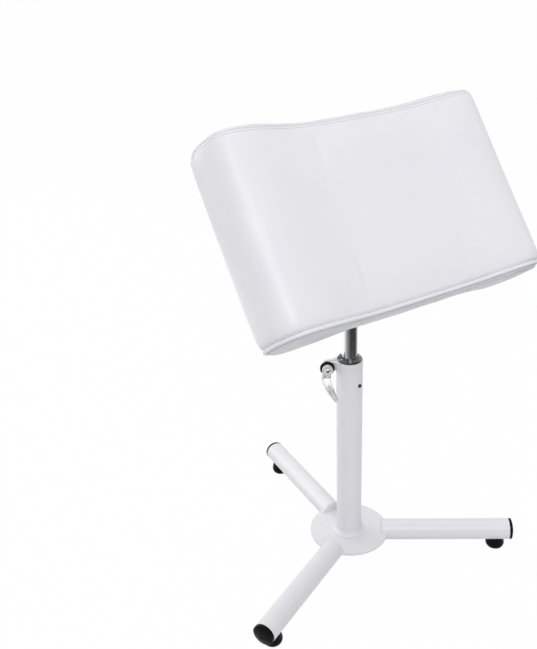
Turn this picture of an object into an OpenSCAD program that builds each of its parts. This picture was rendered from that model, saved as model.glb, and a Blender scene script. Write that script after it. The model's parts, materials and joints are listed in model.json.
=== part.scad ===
// Pedicure footrest: a wave-shaped padded leg cushion that tilts on a friction
// clevis, on a chromed post that slides and swivels in a three-legged stand.
// Millimetres, +Z up. The origin is on the column's axis, at floor level.
// The cushion's tilt axis is parallel to X, and its face leans towards -Y.

/* [Base] */
// Diameter of the round base plate
plate_d = 102; // [96:0.2:116]
// Thickness of the base plate
plate_t = 3; // [2.5:0.5:6]
// Height of the base plate's top face above the floor
plate_top_z = 28.5; // [26:0.5:32]
// Outside diameter of a leg tube
leg_d = 27; // [26:0.5:31]
// Wall of a leg tube
leg_wall = 1.5; // [1.2:0.1:2.5]
// Distance from the column's axis to a leg's inner end
leg_inner_r = 43; // [38:0.5:46]
// Distance from the column's axis to a leg's open outer end
leg_reach = 210; // [190:1:260]
// Depth of a leg's axis below the base plate's top face
leg_drop = 2.2; // [0:0.1:3]
// Turn of the three legs about the column
base_turn = -3.4; // [-20:0.2:20]
// Size of the weld beads
weld_size = 1.8; // [1.2:0.1:3]
// Width of the flared weld round the column's foot
root_weld_w = 6; // [2:0.5:8]
// Height of the flared weld round the column's foot
root_weld_h = 9; // [2:0.5:11]

/* [Feet and caps] */
// Distance from a leg's open outer end back to the middle of its foot
foot_inset = 16; // [14:0.5:30]
// Largest diameter of a rubber foot
foot_d = 24.2; // [20:0.2:26]
// Diameter of the foot's flat on the floor
foot_flat_d = 17; // [14:0.5:18]
// Thickness of an end cap's flange at its rim
cap_rim_t = 3.4; // [1:0.1:4]
// Height of the dome on an end cap
cap_dome_h = 2.6; // [1:0.1:3]

/* [Column] */
// Outside diameter of the column tube
column_d = 32; // [30:0.5:34]
// Wall of the column tube
column_wall = 1.8; // [1.5:0.1:2]
// Height of the column's open top above the floor
column_top_z = 286; // [270:1:310]
// Length of the guide bushing inside the column
bushing_l = 45; // [40:1:60]
// Diameter of the bushing's collar on top of the column
collar_d = 29.8; // [28:0.2:30]
// Thickness of the bushing's collar
collar_t = 2.4; // [1.5:0.1:4]
// Depth of the bushing's fixing screw below the column's top
bushing_screw_drop = 31; // [24:0.5:36]
// Direction of the bushing's fixing screw, about the column
bushing_screw_turn = -77; // [-120:1:-60]

/* [Post] */
// Outside diameter of the chromed post
post_d = 19; // [18:0.1:19.6]
// Wall of the post
post_wall = 1.5; // [1.2:0.1:2]
// Height of the post's lower end above the floor
post_bottom_z = 126; // [122:1:135]
// Length of the glide sleeve on the post's lower end
sleeve_l = 34; // [25:1:38]
// Diameter of the steel pin through the post's head
head_pin_d = 4; // [3:0.5:5]

/* [Height clamp] */
// Direction of the clamp's ears, about the column
clamp_side = 150; // [130:1:170]
// Depth of the clamp's axis below the column's top
clamp_drop = 6.7; // [5.5:0.1:12]
// Distance from the column's axis to the clamp's stud
stud_out = 27.6; // [26.6:0.1:32]
// Height of an ear's rounded end
ear_h = 9.6; // [9:0.2:11]
// Thickness of an ear under the stud's washer
ear_t = 3.6; // [3:0.2:5]
// Distance of an ear's outer face from the slit's middle where it meets the column
ear_flare = 12.2; // [8:0.2:12.4]
// Width of the slit down the column and its bushing
slit_w = 2; // [1.6:0.1:3]
// Thread diameter of the clamp's stud
stud_d = 6; // [5:0.5:6]
// Outside diameter of the black hub
hub_d = 17.5; // [15:0.5:19]
// Thickness of the black hub
hub_t = 4; // [3.6:0.2:6]
// Diameter of the lever's eye
lever_eye_d = 13; // [12:0.2:14]
// Thickness of the lever
lever_t = 4.2; // [3:0.2:6]
// Straight distance from the stud's axis to the lever's tip
lever_l = 41.2; // [36:0.2:50]
// Width of the lever beside its eye
lever_root_w = 11.6; // [9:0.2:12]
// Width of the lever near its tip
lever_tip_w = 6.2; // [4:0.2:8]

/* [Tilt joint] */
// Height of the tilt axis above the floor
hinge_z = 442; // [436:1:460]
// Tilt of the cushion's face from level
tilt = 52.2; // [-75:0.2:75]
// Width of the post's eye, along the tilt axis
eye_w = 16; // [15.8:0.1:20]
// Radius of the post's eye and of the clevis's rounded ends
eye_r = 13; // [12:0.5:15]
// Diameter of the hinge bolt
bolt_d = 8; // [6:0.5:8]
// Thickness of a friction disc
disc_t = 1.6; // [1.6:0.1:3]
// Thickness of the clevis's sheet steel
clevis_t = 3; // [2:0.5:4]
// Distance from the tilt axis to the cushion's back
seat_drop = 41; // [38:0.5:50]
// Length of the clevis along the cushion
clevis_l = 52; // [40:1:60]

/* [Cushion mounting] */
// Width of the bracket plate, along the tilt axis
bracket_w = 88; // [80:1:90]
// Length of the bracket plate, along the leg's direction
bracket_l = 64; // [58:1:90]
// Spacing of the bracket's screws along the tilt axis
screw_pitch_x = 66; // [60:1:68]
// Spacing of the bracket's screws along the leg's direction
screw_pitch_y = 40; // [36:1:46]
// Width of the plywood board
board_w = 236; // [160:2:260]
// Length of the plywood board
board_l = 160; // [120:2:160]
// Thickness of the plywood board
board_t = 12; // [9:0.5:15]

/* [Cushion] */
// Length of the cushion across its wave, along the tilt axis
pad_w = 353; // [320:1:400]
// Length of the cushion along the leg
pad_l = 219; // [200:1:260]
// Sideways shift of the cushion on its bracket
pad_shift = 0; // [-8:0.5:8]
// Shift of the cushion up the slope on its bracket
pad_rise = 5.5; // [0:0.5:8]
// Height of the left crest over the cushion's middle plane
crest_left = 39; // [34:1:50]
// Height of the right crest over the cushion's middle plane
crest_right = 30; // [28:1:50]
// Height of the hollow over the cushion's middle plane
hollow_up = 16; // [14:0.5:24]
// Sideways shift of the hollow from the cushion's middle
hollow_shift = 19; // [0:1:30]
// Depth of the back's bulges under the middle plane
bulge_down = 47; // [34:0.5:50]
// Depth of the back's flat under the middle plane
flat_down = 21; // [20:0.5:30]
// Length of the flat on the back
back_flat = 102; // [100:1:124]
// Length of each rounded end
end_round = 25; // [18:1:30]
// Thickness of the cover with its backing
cover_t = 1.2; // [0.8:0.1:2]
// How far the seams at the cushion's sides are drawn in
seam_draw = 3; // [2:0.2:5]
// How far a side panel bulges
side_bulge = 3; // [2:0.2:5]
// Diameter of the welt cord along the seams
welt_d = 4.4; // [3:0.2:5]
// Height of the welt over the cover beside it
welt_up = 1.5; // [0.6:0.1:1.8]

/* [Hidden] */

// Smoothness of round solids
$fn = 64;

// Overrun of every cut past the face it opens
over = 1;
// Radial clearance of a running fit
run_gap = 0.05;
// Clearance of a seat that is pressed, glued or welded
seat_gap = 0.02;
// Clearance round soft foam
soft_gap = 0.3;

// Colours
paint_white = [0.90, 0.90, 0.91];
paint_weld = [0.86, 0.86, 0.87];
black_plastic = [0.06, 0.06, 0.065];
black_rubber = [0.09, 0.09, 0.09];
chrome_grey = [0.62, 0.63, 0.64];
zinc_grey = [0.70, 0.71, 0.72];
lever_silver = [0.80, 0.80, 0.81];
nylon_white = [0.88, 0.87, 0.82];
plywood_tan = [0.78, 0.62, 0.42];
foam_cream = [0.93, 0.89, 0.74];
cover_white = [0.92, 0.92, 0.94];

// Base and legs
plate_r = plate_d / 2;
leg_r = leg_d / 2;
leg_bore_r = leg_r - leg_wall;
leg_axis_z = plate_top_z - leg_drop;
leg_bottom_z = leg_axis_z - leg_r;
// Directions of the back, left and right legs
leg_turns = [90 + base_turn, 210 + base_turn, 330 + base_turn];

// End caps: a dished plug with ribs that grip the tube
cap_wall = 1.8;
cap_rib_h = 0.9;
cap_rib_count = 3;
cap_rib_share = 0.14;
cap_dimple_r = 3;
cap_dimple_depth = 0.5;
cap_plug_r = leg_bore_r - cap_rib_h;
cap_clear = 1.2;

// Rubber feet and their fastening
foot_r = foot_d / 2;
foot_flat_r = foot_flat_d / 2;
foot_waist_share = 0.48;
foot_saddle_h = 2.2;
foot_top_r = foot_r - 1.6 * foot_saddle_h / 2.2;
foot_screw_d = 5;
foot_head_d = 8.6;
foot_head_h = 2.6;
foot_head_up = 1;
foot_washer_t = 1;
foot_washer_d = 10;
foot_recess_d = 11;
foot_hole_d = 5.6;
foot_screw_tip = 6.5;
nut_flange_d = 10;
nut_flange_t = 0.8;
nut_body_d = 7;
nut_bulb_d = 9.6;
nut_bulb_h = 3;
nut_body_h = 9;
foot_floor_z = 0;
foot_reach = leg_reach - foot_inset;
cap_plug_l = foot_inset - nut_bulb_d / 2 - cap_clear;

// Column and bushing
column_r = column_d / 2;
column_bore_r = column_r - column_wall;
collar_r = collar_d / 2;
post_r = post_d / 2;
post_bore_r = post_r - post_wall;
slide_r = post_r + run_gap;
bushing_r = column_bore_r - run_gap;
bushing_bottom_z = column_top_z - bushing_l;
collar_edge = 0.7;
collar_dish_depth = 0.9;
collar_lip_w = 1.4;
collar_rim_w = 1.5;
bushing_screw_d = 3;
bushing_head_d = 5.2;
bushing_head_h = 1.5;
bushing_screw_z = column_top_z - bushing_screw_drop;
bushing_screw_in = 3.4;

// Post
post_top_gap = 4;
post_top_z = hinge_z - eye_r - post_top_gap;
ring_t = 1.2;
ring_groove_depth = 0.6;
ring_out = 1.7;
ring_opening = 60;
ring_low_z = post_bottom_z + 5 * ring_t;
sleeve_bottom_z = ring_low_z + ring_t + run_gap;
ring_high_z = sleeve_bottom_z + sleeve_l + run_gap;
sleeve_edge = 1;
spigot_l = 30;
head_pin_z = post_top_z - spigot_l / 2;
shoulder_t = 2.5;
neck_w_share = 0.98;
post_foot_t = 1.5;
post_plug_l = 9;

// Height clamp: two ears over a slit, drawn together by a stud beside the column
clamp_z = column_top_z - clamp_drop;
slit_l = 42;
slit_end_d = 5;
ear_out = slit_w / 2 + ear_t;
ear_r = ear_h / 2;
ear_root_x = 9.8;
stud_r = stud_d / 2;
stud_bore_r = stud_r + run_gap;
stud_stick = 0.8;
stud_tip_x = -ear_out - stud_stick;
stud_edge = 0.6;
clamp_washer_t = 1;
clamp_washer_d = 12.4;
washer_x = ear_out + run_gap;
stud_collar_x = washer_x + clamp_washer_t + run_gap;
stud_collar_t = 0.8;
stud_collar_d = 9.6;
hub_x = stud_collar_x + stud_collar_t;
lever_x = hub_x + hub_t;
screw_x = lever_x + lever_t;
drive_d = 7.4;
drive_gap = 0.05;
drive_l = hub_t + lever_t - 0.6 * lever_t / 4;
hub_edge = 0.8;
lever_screw_d = 3.6;
lever_screw_l = 9;
lever_head_d = 8;
lever_head_h = 2.4;
lever_dome_r_share = 1.3;
cross_w = 1.1;
cross_l = 4.6;
cross_depth = 1.2;
// The lever's curve: each row is down, towards the column and outwards, as shares of its length
lever_path_shares = [[0.024, 0, 0], [0.134, -0.034, 0], [0.25, -0.048, 0.022], [0.354, -0.034, 0.078],
    [0.449, 0, 0.124], [0.553, 0.046, 0.156], [0.680, 0.100, 0.168], [0.787, 0.155, 0.170],
    [0.888, 0.206, 0.167], [0.960, 0.236, 0.163], [0.990, 0.248, 0.160]];
// The lever's width at each row: 1 is as beside its eye, 0 as near its tip
lever_width_shares = [1, 1.03, 1, 0.76, 0.66, 0.63, 0.46, 0.24, 0.05, -0.18, -0.56];
// Half of the lever's section at a time: across and outwards, with a channel down its front
lever_section = [[1, 0], [0.94, 0.42], [0.78, 0.78], [0.56, 0.98], [0.34, 0.94], [0.18, 0.60],
    [-0.18, 0.60], [-0.34, 0.94], [-0.56, 0.98], [-0.78, 0.78], [-0.94, 0.42],
    [-1, 0], [-0.86, -0.62], [-0.5, -0.92], [0, -1], [0.5, -0.92], [0.86, -0.62]];

// Tilt joint, with the tilt axis as the local X axis
bolt_r = bolt_d / 2;
bolt_bore_r = bolt_r + run_gap;
disc_r = eye_r - 1 * eye_r / 13;
ear_in_x = eye_w / 2 + disc_t + run_gap;
ear_out_x = ear_in_x + clevis_t;
bend_in_r = clevis_t * 0.7;
bend_out_r = bend_in_r + clevis_t;
plate_back_n = seat_drop;
plate_low_n = seat_drop - clevis_t;
web_low_n = plate_low_n - clevis_t;
washer_t = 1.6;
washer_d = 16;
bolt_head_d = 15;
bolt_head_h = 5.3;
nut_h = 8;
nut_collar_share = 0.3;
bolt_stick = 1.5;
bracket_corner = 9;

// Cushion mounting
screw_d = 6;
screw_hole_d = 6.6;
screw_head_d = 11;
screw_head_h = 3.4;
socket_d = 4;
socket_depth = 2;
tee_barrel_d = 8.5;
tee_barrel_l = 9;
tee_flange_d = 17;
tee_flange_t = 1.2;
screw_stick = 1.6;
board_low_n = seat_drop + cover_t;
board_high_n = board_low_n + board_t;
screw_places = [for (i = [-1, 1], j = [-1, 1]) [i * screw_pitch_x / 2, j * screw_pitch_y / 2]];

// Cushion's outline and rings
pad_mid_n = seat_drop + flat_down;
crest_power = 2.4;
bulge_power = 1.5;
end_steps = 5;
face_steps = 12;
// Distance from a welt over which the cover is drawn in
draw_l = 16;
joint_gap = 0.05;
welt_r = welt_d / 2;
welt_sides = 8;
seam_y = pad_l / 2 - side_bulge;
wrap_end_y = seam_y - welt_d - joint_gap;
welt_y = seam_y - welt_r;
welt_inset = seam_draw - welt_up + welt_r;
panel_step = 3;
panel_inset = 9;

// Height of the cover over its middle plane at distance d from an end
function wave(d, crest, hollow, half, flat, round_l, power) =
    d < round_l
    ? crest * sqrt(max(0, 1 - pow(1 - d / round_l, 2)))
    : hollow + (crest - hollow)
        * pow((1 + cos(180 * min(1, (d - round_l) / (half - flat - round_l)))) / 2, power);

// Stations from one end of the outline to the other, closer together where it turns
function stations(width) = concat(
    [for (i = [0 : end_steps]) end_round * (1 - cos(90 * i / end_steps))],
    [for (j = [1 : face_steps - 1]) end_round + (width - 2 * end_round) * j / face_steps],
    [for (i = [end_steps : -1 : 0]) width - end_round * (1 - cos(90 * i / end_steps))]);

// Closed outline of the cushion, drawn in by inset on every side, as [x, n] points
function pad_outline(inset) =
    let (width = pad_w - 2 * inset, half = width / 2, list = stations(width), n = len(list),
        low = half + hollow_shift)
    concat(
        [for (i = [0 : n - 1]) let (s = list[i], left = s < low)
            [s - half, pad_mid_n + wave(left ? s : width - s,
                (left ? crest_left : crest_right) - inset, hollow_up - inset,
                left ? low : width - low, 0, end_round, crest_power)]],
        [for (i = [n - 2 : -1 : 1]) let (s = list[i], left = s < half)
            [s - half, pad_mid_n - wave(left ? s : width - s,
                bulge_down - inset, flat_down - inset, half, back_flat / 2, end_round, bulge_power)]]);

// Rings of the wrapped cover, from one side to the other: [inset, place along the leg]
function wrap_rings(inset) =
    let (half_rings = [
        [inset + seam_draw, wrap_end_y],
        [inset + seam_draw * 0.25, wrap_end_y - draw_l * 0.4],
        [inset, wrap_end_y - draw_l]])
    concat([for (r = half_rings) [r[0], -r[1]]], [for (i = [2 : -1 : 0]) half_rings[i]]);

// Rings of the foam inside the cover, stepped in under the welts
foam_in = cover_t + soft_gap;
foam_half_rings = [
    [foam_in + seam_draw + panel_step + panel_inset, seam_y + side_bulge - foam_in],
    [foam_in + seam_draw + panel_step, seam_y + side_bulge * 0.66 - foam_in],
    [welt_inset + welt_r + soft_gap, seam_y - foam_in],
    [welt_inset + welt_r + soft_gap, wrap_end_y - soft_gap],
    [foam_in + seam_draw * 0.25, wrap_end_y - draw_l * 0.4],
    [foam_in, wrap_end_y - draw_l]];
foam_rings = concat(
    [for (r = foam_half_rings) [r[0], -r[1]]],
    [for (i = [len(foam_half_rings) - 1 : -1 : 0]) foam_half_rings[i]]);

// Rings of a bulging side panel, over its outside and back under its inside
panel_rings = [
    [cover_t + seam_draw + panel_step + panel_inset, seam_y + side_bulge - cover_t],
    [cover_t + seam_draw + panel_step, seam_y + side_bulge * 0.66 - cover_t],
    [cover_t + seam_draw, seam_y + joint_gap],
    [seam_draw, seam_y + joint_gap],
    [seam_draw + panel_step, seam_y + side_bulge * 0.66],
    [seam_draw + panel_step + panel_inset, seam_y + side_bulge]];

// Places a child whose own X axis points out of the column, over the slit
module at_slit() {
    rotate([0, 0, clamp_side]) children();
}

// Places a child whose own X axis is the clamp's axis, and whose Y axis points at the column
module at_clamp() {
    translate([0, 0, clamp_z]) at_slit() translate([stud_out, 0, 0]) rotate([0, 0, 90]) children();
}

// The slit that lets the column's top close, with a round end against cracks
module slit_cut() {
    at_slit() {
        translate([0, -slit_w / 2, column_top_z - slit_l])
            cube([column_r + over, slit_w, slit_l + bushing_l]);
        translate([0, 0, column_top_z - slit_l]) rod_x(slit_end_d / 2, 0, column_r + over);
    }
}

// Places a child drawn level, with the tilt axis as X and the cushion above it
module at_hinge() {
    translate([0, 0, hinge_z]) rotate([tilt, 0, 0]) children();
}

// A rod along +X
module rod_x(radius, from_x, to_x) {
    translate([from_x, 0, 0]) rotate([0, 90, 0]) cylinder(r = radius, h = to_x - from_x);
}

// A ring along +X
module ring_x(radius, bore, from_x, to_x) {
    difference() {
        rod_x(radius, from_x, to_x);
        rod_x(bore, from_x - over, to_x + over);
    }
}

// A hexagonal bar along +X, measured across its corners
module hex_x(across, from_x, to_x) {
    translate([from_x, 0, 0]) rotate([0, 90, 0]) cylinder(d = across, h = to_x - from_x, $fn = 6);
}

// A leg tube along +X, closed at its inner end and slotted over the base plate's edge
module leg() {
    color(paint_white) difference() {
        translate([0, 0, leg_axis_z]) rod_x(leg_r, leg_inner_r, leg_reach);
        translate([0, 0, leg_axis_z]) rod_x(leg_bore_r, leg_inner_r + leg_wall, leg_reach + over);
        translate([0, 0, plate_top_z - plate_t]) cylinder(r = plate_r + seat_gap, h = plate_t, $fn = 128);
        translate([foot_reach, 0, foot_floor_z])
            cylinder(d = nut_body_d + 2 * seat_gap, h = leg_axis_z);
    }
}

// An end cap on a leg: ribbed plug, flange and shallow dome
module leg_cap() {
    dome_r = (leg_r * leg_r + cap_dome_h * cap_dome_h) / (2 * cap_dome_h);
    dome_steps = 8;
    half_angle = asin(leg_r / dome_r);
    color(black_plastic) translate([leg_reach, 0, leg_axis_z]) rotate([0, 90, 0]) {
        difference() {
            rotate_extrude($fn = 96) polygon(concat(
                [[0, 0], [leg_r, 0], [leg_r, cap_rim_t]],
                [for (i = [dome_steps - 1 : -1 : 0]) let (a = half_angle * i / dome_steps)
                    [dome_r * sin(a), cap_rim_t + cap_dome_h - dome_r * (1 - cos(a))]]));
            translate([0, 0, cap_rim_t + cap_dome_h - cap_dimple_depth])
                cylinder(r = cap_dimple_r, h = over);
        }
        difference() {
            translate([0, 0, -cap_plug_l]) cylinder(r = cap_plug_r, h = cap_plug_l);
            translate([0, 0, -cap_plug_l - over])
                cylinder(r = cap_plug_r - cap_wall, h = cap_plug_l + over);
        }
        for (i = [1 : cap_rib_count])
            translate([0, 0, -cap_plug_l * i / (cap_rib_count + 1)]) difference() {
                cylinder(r = leg_bore_r - seat_gap, h = cap_plug_l * cap_rib_share);
                translate([0, 0, -over])
                    cylinder(r = cap_plug_r - cap_wall / 2, h = cap_plug_l * cap_rib_share + 2 * over);
            }
    }
}

// A rubber foot, saddled to the leg, with a recess for its screw
module foot() {
    foot_top_z = leg_bottom_z + foot_saddle_h;
    waist_z = leg_bottom_z * foot_waist_share;
    curve_steps = 6;
    recess_z = foot_head_up + foot_head_h + foot_washer_t;
    color(black_rubber) difference() {
        translate([foot_reach, 0, foot_floor_z]) rotate_extrude($fn = 96) polygon(concat(
            [[0, 0]],
            [for (i = [0 : curve_steps]) let (a = 90 * i / curve_steps)
                [foot_flat_r + (foot_r - foot_flat_r) * sin(a), waist_z * (1 - cos(a))]],
            [[foot_top_r, foot_top_z], [0, foot_top_z]]));
        translate([0, 0, leg_axis_z]) rod_x(leg_r + seat_gap, leg_inner_r, leg_reach);
        translate([foot_reach, 0, foot_floor_z - over]) cylinder(d = foot_recess_d, h = recess_z + over);
        translate([foot_reach, 0, foot_floor_z]) cylinder(d = foot_hole_d, h = foot_top_z + over);
        translate([foot_reach, 0, leg_bottom_z - nut_flange_t - seat_gap])
            cylinder(d = nut_flange_d + 2 * soft_gap, h = foot_top_z);
    }
}

// The pan-head screw of a foot, driven from below
module foot_screw() {
    head_z = foot_floor_z + foot_head_up;
    difference() {
        union() {
            translate([foot_reach, 0, head_z]) cylinder(d = foot_head_d, h = foot_head_h);
            translate([foot_reach, 0, head_z + foot_head_h])
                cylinder(d = foot_screw_d, h = leg_bottom_z + foot_screw_tip - head_z - foot_head_h);
        }
        for (a = [0, 90])
            translate([foot_reach, 0, head_z]) rotate([0, 0, a])
                cube([cross_l, cross_w, 2 * cross_depth], center = true);
    }
}

// The rivet nut that holds a foot's screw in the leg's wall
module foot_nut() {
    inner_z = leg_bottom_z + leg_wall;
    difference() {
        union() {
            translate([foot_reach, 0, leg_bottom_z - nut_flange_t])
                cylinder(d = nut_flange_d, h = nut_flange_t);
            translate([foot_reach, 0, leg_bottom_z]) cylinder(d = nut_body_d, h = nut_body_h);
            intersection() {
                translate([foot_reach, 0, inner_z - leg_wall]) cylinder(d = nut_bulb_d, h = leg_wall + nut_bulb_h);
                translate([0, 0, leg_axis_z]) rod_x(leg_bore_r - seat_gap, leg_inner_r, leg_reach);
            }
        }
        translate([foot_reach, 0, leg_bottom_z - nut_flange_t - over])
            cylinder(d = foot_screw_d + 2 * run_gap, h = nut_body_h + nut_flange_t + 2 * over);
    }
}

module base_plate() {
    color(paint_white) translate([0, 0, plate_top_z - plate_t])
        cylinder(r = plate_r, h = plate_t, $fn = 128);
}

module column_tube() {
    color(paint_white) difference() {
        translate([0, 0, plate_top_z]) cylinder(r = column_r, h = column_top_z - plate_top_z, $fn = 96);
        translate([0, 0, plate_top_z - over])
            cylinder(r = column_bore_r, h = column_top_z - plate_top_z + 2 * over, $fn = 96);
        slit_cut();
        translate([0, 0, bushing_screw_z]) rotate([0, 0, bushing_screw_turn])
            rod_x(bushing_screw_d / 2 + run_gap, 0, column_r + over);
    }
}

// Weld round the column's foot, ground to a hollow flare
module column_weld() {
    bead_steps = 8;
    hollow = 0.93;
    color(paint_weld) translate([0, 0, plate_top_z]) rotate_extrude($fn = 96)
        polygon(concat(
            [[column_r + seat_gap, 0], [column_r + seat_gap + root_weld_w, 0]],
            [for (i = [0 : bead_steps]) let (a = 90 * i / bead_steps)
                [column_r + seat_gap + root_weld_w * (1 - hollow * sin(a)),
                    root_weld_h * (1 - hollow * cos(a))]],
            [[column_r + seat_gap, root_weld_h]]));
}

// Beads along both sides of each leg, on the plate's top face
module leg_welds() {
    bead_end = sqrt(plate_r * plate_r - leg_r * leg_r) - weld_size / 2;
    above = sqrt(leg_r * leg_r - leg_drop * leg_drop);
    color(paint_weld) for (turn = leg_turns, side = [-1, 1])
        rotate([0, 0, turn]) difference() {
            translate([leg_inner_r, side * above, plate_top_z])
                rotate([0, 90, 0]) cylinder(r = weld_size, h = bead_end - leg_inner_r, $fn = 48);
            translate([0, 0, leg_axis_z]) rod_x(leg_r + seat_gap, 0, leg_reach);
            translate([0, 0, plate_top_z - 2 * weld_size]) cylinder(r = leg_reach, h = 2 * weld_size);
        }
}

// The two ears welded to the column, one each side of the slit: flat under the washer,
// flared where they meet the column, and level with its top there
module clamp_ears() {
    flat_y = clamp_washer_d / 2 + soft_gap;
    root_y = stud_out - column_r * 0.7;
    in_y = stud_out - ear_root_x;
    top_z = clamp_drop - seat_gap;
    touch = atan2(top_z, root_y) + acos(ear_r / norm([root_y, top_z]));
    color(paint_white) difference() {
        at_clamp() for (side = [0, 1]) mirror([side, 0, 0]) intersection() {
            union() {
                rod_x(ear_r, 0, ear_flare + over);
                rotate([90, 0, 90]) linear_extrude(ear_flare + over) polygon([
                    [0, 0],
                    [ear_r * cos(touch), ear_r * sin(touch)],
                    [root_y, top_z],
                    [in_y, top_z],
                    [in_y, -ear_r],
                    [0, -ear_r]]);
            }
            translate([0, 0, -ear_h]) linear_extrude(2 * ear_h + clamp_drop) polygon([
                [slit_w / 2, -ear_h],
                [ear_out, -ear_h],
                [ear_out, flat_y],
                [ear_flare, in_y],
                [slit_w / 2, in_y]]);
        }
        translate([0, 0, clamp_z - 2 * ear_h])
            cylinder(r = column_r + seat_gap, h = 4 * ear_h, $fn = 96);
        at_clamp() rod_x(stud_bore_r, -stud_out, stud_out);
    }
}

// Guide bushing: long sleeve in the column, dished collar on top of it
module column_bushing() {
    dish_in = slide_r + collar_lip_w;
    dish_out = collar_r - collar_rim_w;
    color(black_plastic) difference() {
        translate([0, 0, column_top_z]) rotate_extrude($fn = 96) polygon([
            [slide_r, -bushing_l],
            [bushing_r - collar_edge, -bushing_l],
            [bushing_r, -bushing_l + 2 * collar_edge],
            [bushing_r, 0],
            [collar_r, 0],
            [collar_r, collar_t - collar_edge],
            [collar_r - collar_edge, collar_t],
            [dish_out, collar_t],
            [dish_out - collar_edge, collar_t - collar_dish_depth],
            [dish_in + collar_edge, collar_t - collar_dish_depth],
            [dish_in, collar_t],
            [slide_r + collar_edge / 2, collar_t],
            [slide_r, collar_t - collar_edge / 2]]);
        at_slit() translate([0, -slit_w / 2, column_top_z - bushing_l - over])
            cube([column_r, slit_w, bushing_l + collar_t + 2 * over]);
        translate([0, 0, bushing_screw_z]) rotate([0, 0, bushing_screw_turn])
            rod_x(bushing_screw_d / 2 + seat_gap, column_bore_r - bushing_screw_in, column_r);
    }
}

module bushing_screw() {
    head_x = column_r + seat_gap;
    color(black_plastic) translate([0, 0, bushing_screw_z]) rotate([0, 0, bushing_screw_turn])
        difference() {
            union() {
                rod_x(bushing_screw_d / 2, column_bore_r - bushing_screw_in + run_gap, head_x);
                translate([head_x, 0, 0]) rotate([0, 90, 0])
                    cylinder(d1 = bushing_head_d, d2 = bushing_head_d * 0.7, h = bushing_head_h);
            }
            for (a = [0, 90])
                translate([head_x + bushing_head_h, 0, 0]) rotate([a, 0, 0])
                    cube([bushing_head_h, bushing_head_d * 0.14, bushing_head_d * 0.5], center = true);
        }
}

// Plastic sleeve that slides in the column and lets the post turn in it
module glide_sleeve() {
    sleeve_r = column_bore_r - run_gap;
    color(nylon_white) translate([0, 0, sleeve_bottom_z]) rotate_extrude($fn = 96) polygon([
        [slide_r, 0],
        [sleeve_r - sleeve_edge, 0],
        [sleeve_r, sleeve_edge],
        [sleeve_r, sleeve_l - sleeve_edge],
        [sleeve_r - sleeve_edge, sleeve_l],
        [slide_r, sleeve_l]]);
}

module post_tube() {
    groove_r = post_r - ring_groove_depth;
    color(chrome_grey) difference() {
        translate([0, 0, post_bottom_z]) cylinder(r = post_r, h = post_top_z - post_bottom_z, $fn = 96);
        translate([0, 0, post_bottom_z - over])
            cylinder(r = post_bore_r, h = post_top_z - post_bottom_z + 2 * over, $fn = 96);
        for (z = [ring_low_z, ring_high_z])
            translate([0, 0, z - run_gap / 2]) difference() {
                cylinder(r = post_r + over, h = ring_t + run_gap);
                translate([0, 0, -over]) cylinder(r = groove_r, h = ring_t + 2 * over);
            }
        translate([0, -post_r - over, head_pin_z]) rotate([-90, 0, 0])
            cylinder(d = head_pin_d + 2 * seat_gap, h = post_d + 2 * over);
    }
}

// Moulded plug that closes the post's lower end
module post_plug() {
    plug_r = post_bore_r - seat_gap;
    color(black_plastic) translate([0, 0, post_bottom_z]) rotate_extrude($fn = 96) polygon([
        [0, -post_foot_t],
        [post_r - post_foot_t, -post_foot_t],
        [post_r - run_gap, -post_foot_t / 2],
        [post_r - run_gap, 0],
        [plug_r, 0],
        [plug_r, post_plug_l],
        [plug_r - post_wall, post_plug_l],
        [plug_r - post_wall, post_foot_t],
        [0, post_foot_t]]);
}

// Open spring rings, one above and one below the glide sleeve
module retaining_rings() {
    ring_r = post_r + ring_out;
    color(zinc_grey) for (z = [ring_low_z, ring_high_z])
        translate([0, 0, z]) difference() {
            cylinder(r = ring_r, h = ring_t);
            translate([0, 0, -over])
                cylinder(r = post_r - ring_groove_depth + seat_gap, h = ring_t + 2 * over);
            translate([0, 0, -over]) linear_extrude(ring_t + 2 * over) polygon([
                [0, 0],
                [2 * ring_r * cos(ring_opening / 2), 2 * ring_r * sin(ring_opening / 2)],
                [2 * ring_r * cos(ring_opening / 2), -2 * ring_r * sin(ring_opening / 2)]]);
        }
}

// Turned head of the post: spigot, shoulder, neck and flat-sided eye
module post_head() {
    neck_r = post_r * neck_w_share;
    color(zinc_grey) difference() {
        union() {
            translate([0, 0, post_top_z - spigot_l])
                cylinder(r = post_bore_r - seat_gap, h = spigot_l + shoulder_t);
            translate([0, 0, post_top_z]) cylinder(r = post_r, h = shoulder_t);
            intersection() {
                translate([0, 0, post_top_z]) cylinder(r = neck_r, h = hinge_z - post_top_z);
                translate([-eye_w / 2, -post_d, post_top_z]) cube([eye_w, 2 * post_d, hinge_z]);
            }
            translate([0, 0, hinge_z]) rod_x(eye_r, -eye_w / 2, eye_w / 2);
        }
        translate([0, 0, hinge_z]) rod_x(bolt_bore_r, -eye_w, eye_w);
        translate([0, -post_r - over, head_pin_z]) rotate([-90, 0, 0])
            cylinder(d = head_pin_d + 2 * seat_gap, h = post_d + 2 * over);
    }
}

module head_pin() {
    pin_l = 2 * sqrt(post_r * post_r - head_pin_d * head_pin_d / 4);
    color(zinc_grey) translate([0, -pin_l / 2, head_pin_z]) rotate([-90, 0, 0])
        cylinder(d = head_pin_d, h = pin_l);
}

// Steel washer between the stud's collar and the ear in front
module clamp_washer() {
    color(zinc_grey) at_clamp() ring_x(clamp_washer_d / 2, stud_bore_r, washer_x, washer_x + clamp_washer_t);
}

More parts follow.
